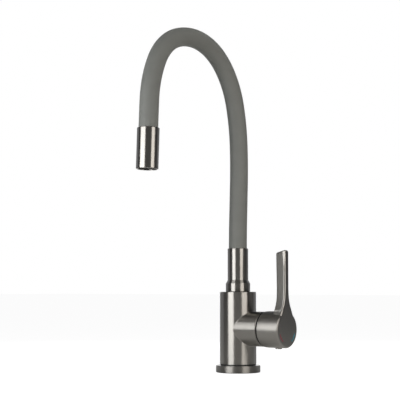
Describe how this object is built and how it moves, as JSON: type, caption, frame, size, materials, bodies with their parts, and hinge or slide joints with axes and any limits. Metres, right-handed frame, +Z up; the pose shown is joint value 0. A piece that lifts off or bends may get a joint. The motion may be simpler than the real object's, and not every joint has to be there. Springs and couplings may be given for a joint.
{
  "type": "kitchen mixer tap",
  "caption": "Single-lever kitchen mixer tap with a side valve, upright lever and a bendable silicone-covered spout that arches over to a straight nozzle.",
  "frame": {"origin": "centre of the foot, on the underside that rests on the worktop", "axes": "+Z up; the spout arches towards -Y; the valve and lever point to +X"},
  "size_m": [0.1005, 0.2153, 0.414],
  "materials": {
    "metal": "satin",
    "brass": "satin",
    "steel": "satin",
    "silicone": "matte",
    "black_rubber": "matte",
    "black_plastic": "matte",
    "white_plastic": "satin",
    "ceramic": "polished",
    "water_hose": "satin",
    "hot_red": "satin",
    "cold_blue": "satin"
  },
  "bodies": {
    "column": {"base_flange": "metal", "base_gasket": "black_rubber", "body_seal_ring": "black_rubber", "valve_body": "metal", "cartridge_base": "white_plastic", "cartridge_seals": "black_rubber", "cartridge_casing": "white_plastic", "ceramic_disc_fixed": "ceramic", "cartridge_nut": "brass", "cover_ring": "black_plastic", "spout_retaining_ring": "steel"},
    "cartridge_rotor": {"cartridge_swivel": "white_plastic", "pivot_pin": "steel"},
    "disc": {"ceramic_disc_moving": "ceramic", "disc_carrier": "white_plastic"},
    "lever": {"cartridge_stem": "steel", "handle": "metal", "handle_grub_screw": "steel", "screw_cap": "metal", "hot_mark": "hot_red", "cold_mark": "cold_blue"},
    "spout_foot": {"spout_base": "metal", "swivel_tail": "brass", "swivel_o_rings": "black_rubber", "swivel_slip_rings": "white_plastic", "swivel_washer": "black_plastic", "gooseneck_collar_lower": "brass", "hose_tail_lower": "brass", "crimp_sleeve_lower": "steel", "spout_hose_1": "silicone", "gooseneck_core": "steel", "inner_hose": "water_hose"},
    "hose_2": {"spout_hose_2": "silicone"},
    "hose_3": {"spout_hose_3": "silicone"},
    "hose_4": {"spout_hose_4": "silicone"},
    "hose_5": {"spout_hose_5": "silicone"},
    "hose_6": {"spout_hose_6": "silicone"},
    "hose_7": {"spout_hose_7": "silicone"},
    "hose_8": {"spout_hose_8": "silicone"},
    "hose_9": {"spout_hose_9": "silicone"},
    "nozzle": {"spout_hose_10": "silicone", "nozzle_sleeve": "metal", "gooseneck_collar_upper": "brass", "nozzle_insert": "brass", "nozzle_o_ring": "black_rubber", "hose_tail_upper": "brass", "crimp_sleeve_upper": "steel", "aerator_seal": "black_rubber", "aerator_housing": "black_plastic", "aerator_insert": "black_plastic", "aerator_screens": "steel"}
  },
  "joints": [
    {"name": "lever_turn", "type": "hinge", "parent": "column", "child": "cartridge_rotor", "pos_m": [0.028, 0, 0.0536], "axis": [1, 0, 0], "range_deg": [-50, 50]},
    {"name": "lever_tilt", "type": "hinge", "parent": "cartridge_rotor", "child": "lever", "pos_m": [0.028, 0, 0.0536], "axis": [0, 1, 0], "range_deg": [0, 25]},
    {"name": "disc_slide", "type": "slide", "parent": "cartridge_rotor", "child": "disc", "axis": [0, 0, 1], "range_m": [0, 0.00396]},
    {"name": "spout_swivel", "type": "hinge", "parent": "column", "child": "spout_foot", "pos_m": [0, 0, 0.099], "axis": [0, 0, 1], "continuous": true},
    {"name": "spout_bend_1", "type": "hinge", "parent": "spout_foot", "child": "hose_2", "pos_m": [0, 0.00058, 0.18279], "axis": [1, 0, 0], "range_deg": [-20, 10], "deforming": ["gooseneck_core", "inner_hose"]},
    {"name": "spout_sway_1", "type": "hinge", "parent": "hose_2", "child": "hose_3", "pos_m": [0, 0.00249, 0.23276], "axis": [0, 0.9993, -0.0384], "range_deg": [-12, 12], "deforming": ["gooseneck_core", "inner_hose"]},
    {"name": "spout_bend_2", "type": "hinge", "parent": "hose_3", "child": "hose_4", "pos_m": [0, 0.00215, 0.28274], "axis": [1, 0, 0], "range_deg": [-20, 10], "deforming": ["gooseneck_core", "inner_hose"]},
    {"name": "spout_sway_2", "type": "hinge", "parent": "hose_4", "child": "hose_5", "pos_m": [0, -0.00575, 0.33202], "axis": [0, 0.965, 0.2622], "range_deg": [-12, 12], "deforming": ["gooseneck_core", "inner_hose"]},
    {"name": "spout_bend_3", "type": "hinge", "parent": "hose_5", "child": "hose_6", "pos_m": [0, -0.02965, 0.3754], "axis": [1, 0, 0], "range_deg": [-20, 10], "deforming": ["gooseneck_core", "inner_hose"]},
    {"name": "spout_sway_3", "type": "hinge", "parent": "hose_6", "child": "hose_7", "pos_m": [0, -0.07213, 0.40032], "axis": [0, 0.23, 0.9732], "range_deg": [-12, 12], "deforming": ["gooseneck_core", "inner_hose"]},
    {"name": "spout_bend_4", "type": "hinge", "parent": "hose_7", "child": "hose_8", "pos_m": [0, -0.12144, 0.39804], "axis": [1, 0, 0], "range_deg": [-20, 10], "deforming": ["gooseneck_core", "inner_hose"]},
    {"name": "spout_sway_4", "type": "hinge", "parent": "hose_8", "child": "hose_9", "pos_m": [0, -0.15841, 0.36624], "axis": [0, -0.8894, 0.4571], "range_deg": [-12, 12], "deforming": ["gooseneck_core", "inner_hose"]},
    {"name": "spout_bend_5", "type": "hinge", "parent": "hose_9", "child": "nozzle", "pos_m": [0, -0.17151, 0.31836], "axis": [1, 0, 0], "range_deg": [-20, 10], "deforming": ["gooseneck_core", "inner_hose"]}
  ],
  "couplings": [
    {"joint": "disc_slide", "follows": "lever_tilt", "m_per_rad": 0.009},
    {"joint": "spout_bend_2", "follows": "spout_bend_1", "ratio": 1},
    {"joint": "spout_sway_2", "follows": "spout_sway_1", "ratio": 1},
    {"joint": "spout_bend_3", "follows": "spout_bend_1", "ratio": 1},
    {"joint": "spout_sway_3", "follows": "spout_sway_1", "ratio": 1},
    {"joint": "spout_bend_4", "follows": "spout_bend_1", "ratio": 1},
    {"joint": "spout_sway_4", "follows": "spout_sway_1", "ratio": 1},
    {"joint": "spout_bend_5", "follows": "spout_bend_1", "ratio": 1}
  ]
}
